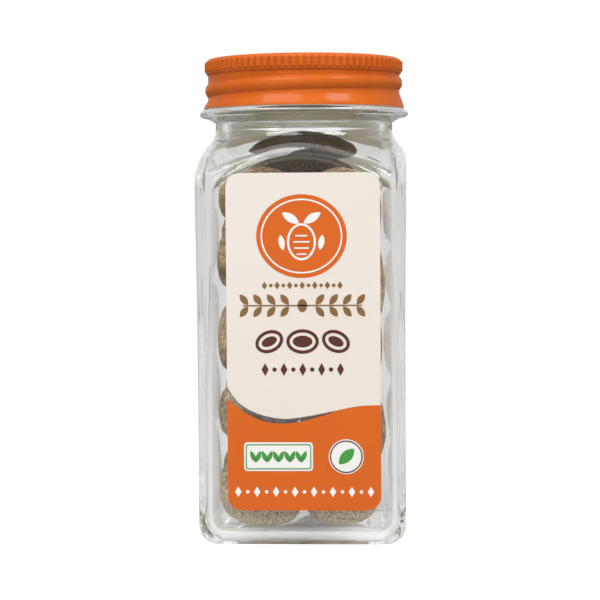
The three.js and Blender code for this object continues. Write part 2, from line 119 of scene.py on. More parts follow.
# ---- Cap ----
CAP_BOTTOM = box_mm("screw_cap")[0].z
CAP_TOP = box_mm("screw_cap")[1].z
CAP_INNER_RADIUS = 22.2
CAP_INNER_BEVEL = 0.4
CAP_ROOF = 0.5                  # thickness
CAP_RADIUS = 23.62              # over the grip's teeth
CAP_EDGE_ROUND = 1.4            # how far the top edge rounds inwards
CAP_EDGE_DROP = 0.65            # and downwards, as a share of that
CAP_EDGE_START = 20             # degrees of the round that the grip takes up
GROOVE_RADIUS = 22.8            # foot of the rolled thread's groove
SKIRT_EDGE_RADIUS = 23.9
CURL_ROUND = 0.35               # of the skirt's edge, which is curled under
CURL_INSIDE = 0.2               # how far the curl reaches up inside
THREAD_PITCH = 3.3
THREAD_DEPTH = 0.7
THREAD_CREST = 106.2            # height of the thread's crest at the front
THREAD_TOP = 109.6
THREAD_FADE = 0.6               # the wall turns out to the grip over this height
THREAD_START = 0.5              # the thread sets in over this height
CREST_WIDTH = 0.9               # of the thread over its crest
RUN_OUT = 0.55                  # where the thread starts to run out, in half turns from the front
LEDGE_POWER = 3                 # the thread is steep over a groove
SLOPE_POWER = 1.5               # and slopes back evenly under a crest
BAND_BOTTOM = 109.8
BAND_TOP = 112.35
TOOTH_COUNT = 86
TOOTH_PHASE = 0.84
TOOTH_DEPTH = 0.38
TOOTH_WAVE = 0.35               # 1 is a plain wave, and less is blunter
TOOTH_END = 0.3                 # the teeth rise and sink over this height
TOOTH_COLUMNS = 7               # mesh columns to a grip tooth
PANEL_RADIUS = 20.2             # edge of the shallow pressed panel on top
PANEL_SLOPE = 0.9               # width of that edge
PANEL_DEPTH = 0.25
PANEL_MIDDLE = 10.0             # radius of a ring across the flat panel
GROOVE_PAINTED_SHADE = 0.35            # how deep the painted shade is in the groove under the grip, to 1 between its teeth
PAINTED_SHADE_DARK = 0.35              # share of the darker colour where the painted shade is deepest
CURL_RINGS = 6
SKIRT_RINGS = 66
GRIP_RINGS = 30
CAP_EDGE_RINGS = 10
PANEL_RINGS = 8

# ---- Label ----
LABEL_LOW, LABEL_HIGH = box_mm("label_film")
LABEL_MIDDLE = (LABEL_LOW.x + LABEL_HIGH.x) / 2
INK_FRONT = box_mm("label_cream_field")[0].y
PRINT_STEP = 0.02               # gap under each layer of print, and the layer's own thickness

# ---- Nutmegs ----
EGG = 0.08                      # how much thicker one end is than the other
GLASS_GAP = 0.5                 # between the nutmegs and the glass
END_SPHERE = 0.8                # size of the spheres at a nutmeg's ends, to the one in its middle
SETTLE_STEPS = 600
SETTLE_DROP = 0.03              # how far a nutmeg drops in a step
HOLD = 0.02                     # how strongly it is held in its place
HOLD_TURN = 0.04                # and in its direction
TOUCH_GAP = 0.3                 # between nutmegs that touch
DOME_RISE = 0.7                 # how far over its middle a sphere meets the shoulder, in radii
DOME_REACH = 0.75               # and how far out
NUT_SEGMENTS = 96
NUT_RINGS = 51
NUT_RING_SIZES = [1] + [NUT_SEGMENTS] * (NUT_RINGS - 1) + [1]
FURROW_DEPTH = 0.26
FURROW_CELL = 2.2               # distance between the furrows
FURROW_STRETCH = 1.5            # how much longer the cells are along the nutmeg
FURROW_WIDTH = 0.17             # in cells
FURROW_BEND = 0.55              # how far the cells are bent, in cells
FURROW_BEND_RATE = 0.9
SCAR_DEPTH = 0.5                # of the scar at the thin end
SCAR_SIZE = 0.025               # along the nutmeg, as a share of half its length
SWELL_LENGTH = 7                # of the slow unevenness of the whole nutmeg
SWELL_HEIGHT = 0.18
GRAIN_LENGTH = 1.1              # of the fine unevenness of its skin
GRAIN_HEIGHT = 0.07
HIGHEST_RISE = 0.12             # what the skin rises over the even egg shape at most
MOST_TONE = 0.3                 # how dark a nutmeg may be by chance
CHANCE_SEED = 5

# Middle, length, diameter, and the long axis' turn and rise in degrees, as in the solids.
NUTMEGS = [
    # bottom layer
    ((-9.8, -12.2, 10.7), 22.4, 16.8, 2, -4),
    ((7.4, -12.0, 10.2), 20.0, 16.0, -6, 0),
    ((-12.8, 7.0, 14.6), 23.0, 16.2, 60, 78),
    ((4.6, 11.8, 11.0), 23.2, 17.4, 12, 20),
    # second layer
    ((-10.8, -12.4, 33.0), 20.2, 15.6, 6, 0),
    ((14.0, -12.6, 27.4), 18.6, 15.8, 80, 88),
    ((8.0, 10.8, 28.6), 21.4, 16.6, 4, -14),
    ((-11.4, 9.6, 35.4), 21.0, 16.6, 75, 20),
    # third layer
    ((-12.8, -12.0, 49.6), 19.6, 16.2, -60, 88),
    ((8.2, -12.2, 43.2), 20.0, 16.4, -12, 6),
    ((11.6, 9.4, 44.2), 22.4, 17.0, 80, 24),
    ((-8.6, 10.8, 51.8), 22.0, 17.2, 20, -22),
    # fourth layer
    ((-11.6, -12.4, 67.2), 19.0, 15.6, 4, 2),
    ((12.2, -11.5, 61.8), 23.2, 16.8, 70, 76),
    ((-11.8, 4.6, 73.0), 22.0, 16.6, 85, 6),
    ((9.8, 11.2, 61.8), 21.2, 16.6, -20, 12),
    # top
    ((-10.4, -9.8, 80.0), 20.4, 14.4, 24, 4),
    ((9.8, -10.6, 78.0), 20.6, 16.6, 50, 32),
    ((11.4, 10.8, 75.2), 20.4, 16.0, 30, -10),
    ((-0.6, 3.4, 88.8), 27.6, 15.8, 3, 0),
]
SHADED_TOP_NUTMEG = len(NUTMEGS) - 1   # this one is painted dark all over as painted shade under the cap, which also leaves it bare of dust

# ---- Camera ----
CAMERA_DISTANCE = 450.0         # from the jar's axis
CAMERA_HEIGHT = 80.6
CAMERA_AZIMUTH = 3.0            # degrees towards +X
CAMERA_PITCH = 3.19             # degrees down
CAMERA_ROLL = -0.4
CAMERA_LENS = 112.5
CAMERA_SENSOR = 36
CAMERA_SHIFT = -0.0087
CAMERA_NEAR = 0.01              # metres

# ---- Studio: light from each height, from straight down at -1 to straight up at 1 ----
# BACKDROP, ROOM and WALLS show through the glass: behind the jar, in front of it and at its sides.
# GLOSS shows in reflections.
BACKDROP = [(0.0, (0.25, 0.23, 0.16, 1)), (0.3, (0.23, 0.21, 0.14, 1)), (0.9, (0.3, 0.28, 0.21, 1))]
ROOM = [(-0.05, 0.7), (0.0, 0.55), (0.45, 0.6), (0.8, 0.9)]
WALLS = [(0.0, 0.72), (0.5, 0.75), (1.0, 0.8)]
GLOSS = [(-0.05, 0.1), (0.2, 0.08), (0.6, 0.3), (0.85, 1.2), (0.92, 3.0)]
GLOSS_BEHIND = (0.9, 0.9, 0.9, 1)
AMBIENT = 0.24                  # even light on things outside the glass
INSIDE_AMBIENT = 0.7            # and on the things in it
FLOOR_WHITE = 0.25
FLOOR_SEEN = 0.66               # how white the floor is through the glass
FLOOR_GLOW = 0.12
FLOOR_GAP = 0.1                 # under the jar
SCREEN_GLOW = 0.71              # of the low white screen behind the jar
SCREEN_AWAY = 300.0
SCREEN_HEIGHT = 110.0
STAGE_HALF = 3000
LIGHT_BOUNCES = 48              # light runs a long way inside the thick walls of the glass

# Name, place in metres, watts, and width and height in metres.
LAMPS = [
    ("key", (-0.42, -0.70, 0.98), 8.6, 0.8, 0.5),
    ("fill", (0.69, -0.55, 0.98), 6.8, 0.5, 0.35),
    ("front", (-0.10, -1.3, 0.50), 2.5, 0.9, 0.6),
]
LAMP_AIM = (0, 0, 0.06)


# ---- Helpers ----

def srgb(red, green, blue):
    """A colour of 0 to 255 as the linear colour that a shader takes."""
    def linear(v):
        v /= 255
        return v / 12.92 if v <= 0.04045 else ((v + 0.055) / 1.055) ** 2.4
    return (linear(red), linear(green), linear(blue), 1)


def grey(value):
    return (value, value, value, 1)


def smoothstep(t):
    """A soft step from 0 to 1."""
    u = min(max(t, 0), 1)
    return u * u * (3 - 2 * u)


def soft_min(a, b, blend):
    """The smaller of two values, rounded off where they are within blend of each other."""
    overlap = max(blend - abs(a - b), 0)
    return min(a, b) - overlap * overlap / (4 * blend)


def mesh_piece(name, vertices, faces, material, smooth=True):
    """A mesh from points in millimetres, riding on the jar."""
    mesh = bpy.data.meshes.new(name)
    mesh.from_pydata((np.asarray(vertices, float) * MM).tolist(), [], faces)
    mesh.update()
    if smooth:
        mesh.shade_smooth()
    mesh.materials.append(material)
    piece = bpy.data.objects.new(name, mesh)
    bpy.context.scene.collection.objects.link(piece)
    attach(piece, "root")
    return piece


def ring_faces(counts):
    """Faces between rings of points, for the number of points in each ring; a ring of one point is a pole."""
    faces = []
    start = 0
    for lower, upper in zip(counts, counts[1:]):
        after = start + lower
        for j in range(max(lower, upper)):
            k = (j + 1) % max(lower, upper)
            a, b = (start, start) if lower == 1 else (start + j, start + k)
            d, c = (after, after) if upper == 1 else (after + j, after + k)
            faces.append(tuple(dict.fromkeys((a, b, c, d))))
        start = after
    return faces


def ring_piece(name, rings, material):
    """A closed piece through rings of points, which starts and ends in a pole."""
    vertices = [point for ring in rings for point in ring]
    return mesh_piece(name, vertices, ring_faces([len(r) for r in rings]), material)


# ---- Materials ----

class Tree:
    """A node tree, with short calls to add and join nodes."""

    def __init__(self, tree):
        self.tree = tree

    def join(self, source, socket):
        """Feeds a socket from another one, or sets it to a plain value."""
        if isinstance(source, bpy.types.NodeSocket):
            self.tree.links.new(source, socket)
        else:
            socket.default_value = source

    def add(self, kind, **settings):
        node = self.tree.nodes.new("ShaderNode" + kind)
        for key, value in settings.items():
            if key in node.inputs:
                node.inputs[key].default_value = value
            else:
                setattr(node, key, value)
        return node

    def ramp(self, source, stops):
        """A colour that runs through stops, each a position from 0 to 1 and its colour."""
        node = self.add("ValToRGB")
        ramp = node.color_ramp
        while len(ramp.elements) < len(stops):
            ramp.elements.new(0.5)
        for element, (position, color) in zip(ramp.elements, stops):
            element.position = position
            element.color = color
        self.join(source, node.inputs["Fac"])
        return node.outputs["Color"]

    def mix(self, factor, a, b, blend="MIX"):
        node = self.add("Mix", data_type="RGBA", blend_type=blend)
        for source, socket in ((factor, 0), (a, 6), (b, 7)):
            self.join(source, node.inputs[socket])
        return node.outputs[2]

    def map_range(self, source, to=(0.0, 1.0), start=(0.0, 1.0)):
        """A value moved from the range it starts in to another range, and kept inside that."""
        node = self.add("MapRange")
        node.inputs["From Min"].default_value, node.inputs["From Max"].default_value = start
        node.inputs["To Min"].default_value, node.inputs["To Max"].default_value = to
        self.join(source, node.inputs["Value"])
        return node.outputs["Result"]

    def is_over(self, value, limit=0.5):
        """1 where a value is over a limit, and otherwise 0."""
        node = self.add("Math", operation="GREATER_THAN")
        self.join(value, node.inputs[0])
        self.join(limit, node.inputs[1])
        return node.outputs["Value"]

    def ambient(self, path):
        """The even light that falls on things, outside the glass or in it."""
        return self.mix(path.outputs["Is Transmission Ray"], grey(AMBIENT), grey(INSIDE_AMBIENT))


class Nodes(Tree):
    """A material's node tree."""

    def __init__(self, name):
        self.material = bpy.data.materials.new(name)
        self.material.use_nodes = True
        super().__init__(self.material.node_tree)
        self.shader = self.tree.nodes["Principled BSDF"]
        self.output = self.tree.nodes["Material Output"]
        self.place = self.tree.nodes.new("ShaderNodeTexCoord").outputs["Object"]

    def noise(self, scale, detail=4.0, roughness=0.5, stretch=None):
        """Noise with this many features to a metre, stretched by a factor on each axis."""
        texture = self.add("TexNoise", Scale=scale, Detail=detail, Roughness=roughness)
        place = self.place
        if stretch:
            mapping = self.add("Mapping", Scale=stretch)
            self.join(place, mapping.inputs["Vector"])
            place = mapping.outputs["Vector"]
        self.join(place, texture.inputs["Vector"])
        return texture.outputs["Fac"]

    def cells(self, scale, warp):
        """Distance to the borders of cells, this many to a metre, bent by up to warp metres."""
        texture = self.add("TexVoronoi", feature="DISTANCE_TO_EDGE", Scale=scale)
        bend_by = self.add("TexNoise", Scale=scale)
        self.join(self.place, bend_by.inputs["Vector"])
        bent = self.mix(warp, self.place, bend_by.outputs["Color"], blend="LINEAR_LIGHT")
        self.join(bent, texture.inputs["Vector"])
        return texture.outputs["Distance"]

    def bump(self, height, distance, strength=1.0, under=None):
        node = self.add("Bump", Strength=strength, Distance=distance)
        self.join(height, node.inputs["Height"])
        if under:
            self.join(under, node.inputs["Normal"])
        return node.outputs["Normal"]

    def set(self, **values):
        """Feeds the shader's sockets, in whose names a space is written as _."""
        for key, value in values.items():
            self.join(value, self.shader.inputs[key.replace("_", " ")])

    def pass_shadows(self, color):
        """Lets light through to what is behind the surface, tinted by a colour."""
        clear = self.add("BsdfTransparent", Color=color)
        path = self.add("LightPath")
        either = self.add("MixShader")
        self.join(path.outputs["Is Shadow Ray"], either.inputs["Fac"])
        self.join(self.shader.outputs["BSDF"], either.inputs[1])
        self.join(clear.outputs["BSDF"], either.inputs[2])
        self.join(either.outputs["Shader"], self.output.inputs["Surface"])


def glass_material():
    """Clear flint glass with a faint grey-green cast and slow ripples."""
    n = Nodes("clear_glass")
    ripple = n.noise(90, detail=1.0, stretch=(1, 1, 0.35))
    n.set(Base_Color=(0.996, 0.997, 0.995, 1), Roughness=0.0, IOR=1.5, Transmission_Weight=1.0)
    n.set(Normal=n.bump(ripple, 0.0004, 0.35))
    n.pass_shadows((0.93, 0.94, 0.93, 1))
    return n.material


def lacquer_material():
    """Orange lacquer over tinplate with faint orange peel, and painted shade: a darker colour between
    and under the teeth."""
    n = Nodes("orange_lacquer")
    tone = n.noise(140, detail=5.0, roughness=0.6)
    color = n.ramp(tone, [(0.3, srgb(207, 99, 33)), (0.7, srgb(217, 107, 38))])
    # painted shade: a darker colour between the grip's teeth and in the groove under them
    painted_shade = n.add("Attribute", attribute_name="painted_shade").outputs["Fac"]
    color = n.mix(n.map_range(painted_shade, (0.0, PAINTED_SHADE_DARK)), color, srgb(160, 60, 18))
    peel = n.noise(2600, detail=2.0)
    rub = n.noise(420, detail=6.0, roughness=0.7)
    n.set(Base_Color=color, Roughness=n.map_range(rub, (0.4, 0.5)), Metallic=0.0)
    n.set(Coat_Weight=0.22, Coat_Roughness=0.13, Specular_IOR_Level=0.0)
    n.set(Normal=n.bump(peel, 0.00003, 0.6))
    return n.material


def lining_material():
    """The cap's dull inside: a grey-green sealing lining."""
    n = Nodes("cap_lining")
    n.set(Base_Color=n.ramp(n.noise(200), [(0.3, srgb(232, 225, 196)), (0.7, srgb(238, 231, 204))]))
    n.set(Roughness=n.map_range(n.noise(700), (0.45, 0.6)), Specular_IOR_Level=0.4)
    return n.material


def nutmeg_material():
    """Dry brown nutmegs without their shells: dark furrows, dusty patches, more dust near the jar's floor,
    wrinkles and fine flecks."""
    n = Nodes("nutmeg_skin")
    furrow = n.add("Attribute", attribute_name="furrow").outputs["Fac"]
    tone = n.add("Attribute", attribute_name="tone").outputs["Fac"]
    mottle = n.noise(330, detail=6.0, roughness=0.65)
    fleck = n.noise(1700, detail=5.0, roughness=0.7)
    dust = n.noise(140, detail=3.0, roughness=0.6)
    skin = n.ramp(mottle, [
        (0.3, srgb(140, 115, 82)), (0.5, srgb(162, 137, 101)), (0.7, srgb(182, 158, 121)),
    ])
    skin = n.mix(furrow, skin, srgb(104, 82, 58))
    dusty = n.ramp(dust, [(0.45, grey(0)), (0.75, grey(0.5))])
    skin = n.mix(dusty, skin, srgb(194, 176, 146))
    split = n.add("SeparateXYZ")
    n.join(n.place, split.inputs["Vector"])
    low_dust = n.map_range(split.outputs["Z"], to=(0.0, 0.75), start=(0.018, 0.004))
    skin = n.mix(low_dust, skin, srgb(204, 190, 168))
    # darker tone: at random on each nutmeg, and in full on the top one as painted shade under the cap
    skin = n.mix(tone, skin, srgb(84, 70, 52))
    wrinkle = n.ramp(n.cells(720, 0.0007), [(0.0, (0.72, 0.7, 0.67, 1)), (0.1, grey(1))])
    skin = n.mix(1.0, skin, wrinkle, blend="MULTIPLY")
    specks = n.ramp(fleck, [(0.38, (0.36, 0.34, 0.31, 1)), (0.5, grey(1)), (0.62, (1.5, 1.5, 1.45, 1))])
    n.set(Base_Color=n.mix(1.0, skin, specks, blend="MULTIPLY"))
    n.set(Roughness=n.map_range(mottle, (0.62, 0.85)), Specular_IOR_Level=0.3)
    coarse = n.bump(mottle, 0.0002, 0.8, under=n.bump(wrinkle, 0.00012, 0.7))
    n.set(Normal=n.bump(fleck, 0.00006, 0.8, under=coarse))
    return n.material


def ink_material(name, color, shade, shine=0.35):
    """Satin ink on film, with a very faint unevenness."""
    n = Nodes(name)
    patch = n.noise(60, detail=3.0)
    n.set(Base_Color=n.ramp(patch, [(0.3, color), (0.7, shade)]))
    n.set(Roughness=n.map_range(n.noise(900, detail=3.0), (0.38, 0.5)), Specular_IOR_Level=shine)
    n.set(Normal=n.bump(n.noise(1500, detail=2.0), 0.00001, 0.5))
    return n.material


def film_material():
    """Clear label film."""
    n = Nodes("clear_label_film")
    n.set(Base_Color=grey(1), Roughness=n.map_range(n.noise(300), (0.02, 0.06)))
    n.set(IOR=1.4, Transmission_Weight=1.0)
    n.pass_shadows(grey(1))
    return n.material


# ---- Jar ----

def square_reach(angle, half, corner):
    """Distance from the axis to a rounded square, along the direction at an angle."""
    quarter = math.pi / 2
    along = math.pi / 4 - abs(angle % quarter - quarter / 2)
    middle = half - corner
    if half * math.tan(along) <= middle:
        return half / math.cos(along)
    c, s = math.cos(along), math.sin(along)
    return middle * (c + s) + math.sqrt(corner * corner - middle * middle * (c - s) ** 2)


def column_angle(j):
    """Direction of one of the mesh's columns, which crowd round the corners."""
    even = j / JAR_COLUMNS * 2 * math.pi
    return even + CORNER_CROWDING / 4 * math.sin(4 * even)


JAR_ANGLES = [column_angle(j) for j in range(JAR_COLUMNS)]


def square_ring(z, half, corner, inset=0.0, dome=math.inf, swell=0.0, ripple=0.0):
    """A rounded square, cut down to a round dome where that is smaller."""
    ring = []
    for angle in JAR_ANGLES:
        reach = square_reach(angle, half - inset, max(corner - inset, SHARPEST_CORNER))
        radius = reach if dome == math.inf else soft_min(dome, reach, SHOULDER_BLEND)
        c, s = math.cos(angle), math.sin(angle)
        if ripple:
            radius += ripple * noise.noise(Vector((c * RIPPLE_TURNS, s * RIPPLE_TURNS, z / RIPPLE_LENGTH)))
        stretch = 1 if dome < half else 1 + swell / half
        ring.append((radius * c * stretch, radius * s, z))
    return ring


def round_ring(z, radius):
    return [(radius * math.cos(a), radius * math.sin(a), z) for a in JAR_ANGLES]


def swell_at(z):
    """How far the left and right sides stand out at a height."""
    rise = smoothstep((z - SWELL_BOTTOM) / (SWELL_TOP - SWELL_BOTTOM))
    return SHOULDER_PROUD * rise * smoothstep((SHOULDER_TOP - SWELL_END - z) / SWELL_RUN_OUT)


def heel_inset(z, radius):
    """How far a rounded heel is inside the wall at a height."""
    return radius - math.sqrt(radius * radius - (radius - z) ** 2)


def reach_of_corner(half, corner):
    """Distance from the axis to the tip of a rounded square's corner."""
    return (half - corner) * math.sqrt(2) + corner


def dome_radius(z, neck, reach, bottom, top):
    """Radius of the shoulder's dome, from its reach at the bottom to the neck at the top."""
    return neck + (reach - neck) * smoothstep((top - z) / (top - bottom))


def neck_radius(z):
    """Outside of the neck and of the slope between it and the bead."""
    return NECK_RADIUS - soft_min((NECK_TOP - z) * BEAD_SLOPE, 0, NECK_BLEND)


def steps(start, stop, count):
    """count + 1 even steps, both ends included."""
    return [start + (stop - start) * k / count for k in range(count + 1)]


def bend(radius_from, z_from, radius_to, z_to, count, rise_first):
    """(z, radius) along a quarter ellipse, its first end left out."""
    points = []
    for t in steps(0, math.pi / 2, count)[1:]:
        a, b = (math.sin(t), 1 - math.cos(t)) if rise_first else (1 - math.cos(t), math.sin(t))
        points.append((z_from + (z_to - z_from) * a, radius_from + (radius_to - radius_from) * b))
    return points


OUTSIDE = {"half": BODY_HALF, "corner": CORNER_RADIUS}
INSIDE = {"half": BODY_HALF - WALL, "corner": INNER_CORNER_RADIUS}


def base_rings():
    """The base from its raised middle to the flat foot, and the heel."""
    foot = HEEL_RADIUS + FOOT_WIDTH
    rings = [[(0, 0, PUSH_UP)]]
    rings += [square_ring(PUSH_UP, inset=inset, **OUTSIDE) for inset in BASE_INSETS]
    for t in steps(0, 1, BASE_RINGS):
        rise = PUSH_UP * (1 - smoothstep(t))
        rings.append(square_ring(rise, inset=foot + PUSH_UP_SLOPE * (1 - t), **OUTSIDE))
    rings.append(square_ring(0, inset=HEEL_RADIUS + EDGE_GAP, **OUTSIDE))
    for turn in steps(0, 90, HEEL_RINGS):
        z = HEEL_RADIUS * (1 - math.cos(math.radians(turn)))
        rings.append(square_ring(z, inset=heel_inset(z, HEEL_RADIUS), **OUTSIDE))
    return rings


def body_rings():
    """The sides, the shoulder and the neck."""
    rings = []
    straight = steps(HEEL_RADIUS + WALL_GAP, SWELL_BOTTOM, BODY_RINGS)
    for z in straight + steps(SWELL_BOTTOM, SHOULDER_BOTTOM, SWELL_RINGS)[1:-1]:
        rings.append(square_ring(z, swell=swell_at(z), **OUTSIDE))
    reach = reach_of_corner(**OUTSIDE) + SHOULDER_OVERREACH
    for z in steps(SHOULDER_BOTTOM, SHOULDER_TOP, SHOULDER_RINGS)[:-1]:
        dome = dome_radius(z, NECK_RADIUS, reach, SHOULDER_BOTTOM, SHOULDER_TOP)
        rings.append(square_ring(z, dome=dome, swell=swell_at(z), **OUTSIDE))
    neck = steps(SHOULDER_TOP, NECK_TOP - NECK_BLEND - EDGE_GAP, NECK_RINGS)
    return rings + [round_ring(z, NECK_RADIUS) for z in neck]


def finish_rings():
    """The slope under the bead, the bead, the glass inside the cap and the rounded lip."""
    profile = [(z, neck_radius(z)) for z in steps(NECK_TOP - NECK_BLEND, BEAD_BOTTOM, SLOPE_RINGS)]
    profile += [(BEAD_BOTTOM, BEAD_RADIUS - BEAD_ROUND)]
    profile += bend(BEAD_RADIUS - BEAD_ROUND, BEAD_BOTTOM, BEAD_RADIUS, BEAD_MIDDLE, BEAD_RINGS, False)
    profile += bend(BEAD_RADIUS, BEAD_MIDDLE, BEAD_RADIUS - BEAD_ROUND, BEAD_TOP, BEAD_RINGS, True)
    profile += [(BEAD_TOP, FINISH_RADIUS + FINISH_FOOT), (BEAD_TOP + EDGE_GAP, FINISH_RADIUS)]
    profile += [(LIP_TOP - LIP_ROUND, FINISH_RADIUS)]
    profile += bend(FINISH_RADIUS, LIP_TOP - LIP_ROUND, FINISH_RADIUS - LIP_ROUND, LIP_TOP, LIP_RINGS, True)
    profile += [(LIP_TOP, MOUTH_RADIUS + LIP_ROUND)]
    profile += bend(MOUTH_RADIUS + LIP_ROUND, LIP_TOP, MOUTH_RADIUS, LIP_TOP - LIP_ROUND, LIP_RINGS, False)
    return [round_ring(z, radius) for z, radius in profile]


def inner_rings():
    """The inside, from the mouth down to the floor."""
    mouth = steps(LIP_TOP - LIP_ROUND - WALL_GAP, INNER_SHOULDER_TOP, MOUTH_RINGS)
    rings = [round_ring(z, MOUTH_RADIUS) for z in mouth]
    reach = reach_of_corner(**INSIDE) + SHOULDER_OVERREACH
    for z in steps(INNER_SHOULDER_TOP, INNER_SHOULDER_BOTTOM, INNER_SHOULDER_RINGS)[1:]:
        dome = dome_radius(z, MOUTH_RADIUS, reach, INNER_SHOULDER_BOTTOM, INNER_SHOULDER_TOP)
        ripple = GLASS_RIPPLE * smoothstep((INNER_SHOULDER_TOP - z) / RIPPLE_FADE)
        rings.append(square_ring(z, dome=dome, ripple=ripple, **INSIDE))
    top = INNER_SHOULDER_BOTTOM - INNER_WALL_GAP
    straight = steps(top, BASE_THICKNESS + INNER_HEEL_RADIUS, INNER_BODY_RINGS)
    rings += [square_ring(z, ripple=GLASS_RIPPLE, **INSIDE) for z in straight]
    for turn in steps(90, 0, HEEL_RINGS)[1:]:
        rise = INNER_HEEL_RADIUS * (1 - math.cos(math.radians(turn)))
        inset = heel_inset(rise, INNER_HEEL_RADIUS)
        ripple = GLASS_RIPPLE * rise / RIPPLE_HEEL
        rings.append(square_ring(BASE_THICKNESS + rise, inset=inset, ripple=ripple, **INSIDE))
    rings += [square_ring(BASE_THICKNESS, inset=inset, **INSIDE) for inset in INNER_BASE_INSETS]
    return rings + [[(0, 0, BASE_THICKNESS)]]


def make_jar(material):
    rings = base_rings() + body_rings() + finish_rings() + inner_rings()
    jar = ring_piece("glass_jar", rings, material)
    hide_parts("jar_glass")


# ---- Cap ----

def cap_turn(angle):
    """A direction in half turns from the front, from -1 to 1."""
    return (angle / math.pi + 1.5) % 2 - 1


def crest_height(angle):
    return THREAD_CREST + THREAD_PITCH * cap_turn(angle) / 2


def skirt_radius(angle, z):
    """Outside of the skirt: a right-hand thread rolled into the metal, over an edge that flares out.
    The thread runs out at the back, at both its ends."""
    turn = cap_turn(angle)
    crest = crest_height(angle)
    start = crest - THREAD_PITCH * (0.5 + smoothstep((turn - RUN_OUT) / (1 - RUN_OUT)))
    phase = ((z - crest) / THREAD_PITCH + 0.5) % 1 - 0.5
    wave = 1 - abs(2 * phase) ** (LEDGE_POWER if phase > 0 else SLOPE_POWER)
    wave *= smoothstep((z - start) / THREAD_START)
    if z > crest + THREAD_PITCH / 2:
        wave *= smoothstep((-turn - RUN_OUT) / (1 - RUN_OUT))
    under_grip = smoothstep((z - THREAD_TOP + THREAD_FADE) / THREAD_FADE)
    flare = smoothstep((start - z) / (start - CAP_BOTTOM))
    thread = GROOVE_RADIUS + THREAD_DEPTH * wave
    thread += (CAP_RADIUS - TOOTH_DEPTH - thread) * under_grip
    return thread + (SKIRT_EDGE_RADIUS - GROOVE_RADIUS) * flare


def tooth_rise(angle):
    """Height of the grip's teeth over their grooves."""
    wave = math.cos(angle * TOOTH_COUNT + TOOTH_PHASE)
    return TOOTH_DEPTH * (0.5 + 0.5 * wave / (TOOTH_WAVE + (1 - TOOTH_WAVE) * abs(wave)))


def painted_shade_share(x, y, z):
    """How much painted shade a point of the cap has: between the grip's teeth, and in the groove under them.
    """
    angle = math.atan2(y, x)
    if BAND_BOTTOM < z < BAND_TOP:
        return 1 - tooth_rise(angle) / TOOTH_DEPTH
    crest = crest_height(angle)
    if crest < z <= BAND_BOTTOM:
        return GROOVE_PAINTED_SHADE * smoothstep((z - crest - CREST_WIDTH) / THREAD_START)
    return 0.0


def cap_rings():
    """The cap from the middle of its roof's underside, down the inside, round the curled edge, up the
    thread and the grip, and over the top to the middle of the pressed panel."""
    columns = TOOTH_COUNT * TOOTH_COLUMNS
    angles = [j / columns * 2 * math.pi for j in range(columns)]

    def ring(z, radius_at):
        radii = [radius_at(a) if callable(radius_at) else radius_at for a in angles]
        return [(r * math.cos(a), r * math.sin(a), z) for r, a in zip(radii, angles)]

    groove = CAP_RADIUS - TOOTH_DEPTH
    under_roof = CAP_TOP - CAP_ROOF
    rings = [[(0, 0, under_roof)]]
    rings.append(ring(under_roof, CAP_INNER_RADIUS - CAP_INNER_BEVEL))
    rings.append(ring(under_roof - CAP_INNER_BEVEL, CAP_INNER_RADIUS))
    rings.append(ring(CAP_BOTTOM + CURL_INSIDE, CAP_INNER_RADIUS))
    for turn in steps(-90, 0, CURL_RINGS):
        t = math.radians(turn)
        z = CAP_BOTTOM + CURL_ROUND * (1 + math.sin(t))
        rings.append(ring(z, SKIRT_EDGE_RADIUS - CURL_ROUND * (1 - math.cos(t))))
    for z in steps(CAP_BOTTOM + CURL_ROUND + EDGE_GAP, THREAD_TOP, SKIRT_RINGS):
        rings.append(ring(z, lambda a, z=z: min(skirt_radius(a, z), SKIRT_EDGE_RADIUS)))
    for z in steps(BAND_BOTTOM - EDGE_GAP, BAND_TOP, GRIP_RINGS):
        lower = smoothstep((z - BAND_BOTTOM) / TOOTH_END)
        upper = smoothstep((BAND_TOP - z) / TOOTH_END)
        rings.append(ring(z, lambda a, k=lower * upper: groove + tooth_rise(a) * k))
    for turn in steps(CAP_EDGE_START, 90, CAP_EDGE_RINGS):
        t = math.radians(turn)
        z = CAP_TOP - CAP_EDGE_ROUND * CAP_EDGE_DROP * (1 - math.sin(t))
        rings.append(ring(z, groove - CAP_EDGE_ROUND * (1 - math.cos(t))))
    for t in steps(0, 1, PANEL_RINGS):
        z = CAP_TOP - PANEL_DEPTH * smoothstep(t)
        rings.append(ring(z, PANEL_RADIUS + PANEL_SLOPE * (0.5 - t)))
    rings.append(ring(CAP_TOP - PANEL_DEPTH, PANEL_MIDDLE))
    rings.append([(0, 0, CAP_TOP - PANEL_DEPTH)])
    return rings


def line_cap(cap, lining):
    """Gives the inside of the cap and the underside of its curled edge the lining."""
    cap.data.materials.append(lining)
    for face in cap.data.polygons:
        points = [cap.data.vertices[v].co / MM for v in face.vertices]
        top = max(p.z for p in points)
        inside = max(math.hypot(*p.xy) for p in points) < CAP_INNER_RADIUS + TOLERANCE
        under = top < CAP_BOTTOM + CURL_INSIDE + TOLERANCE
        if under or (inside and top < CAP_TOP - CAP_ROOF + TOLERANCE):
            face.material_index = 1


def make_cap(material, lining):
    cap = ring_piece("orange_screw_cap", cap_rings(), material)
    line_cap(cap, lining)
    # painted shade between and under the grip's teeth, kept on the cap's points
    painted_shade = [painted_shade_share(*(vertex.co / MM)) for vertex in cap.data.vertices]
    cap.data.attributes.new("painted_shade", "FLOAT", "POINT").data.foreach_set("value", painted_shade)
    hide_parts("screw_cap")


# ---- Nutmegs ----

NUT_WALL = BODY_HALF - WALL - GLASS_GAP
NUT_FLOOR = BASE_THICKNESS + GLASS_GAP
NUT_DOME = reach_of_corner(**INSIDE) - GLASS_GAP


def clamp(value, limit):
    return min(max(value, -limit), limit)


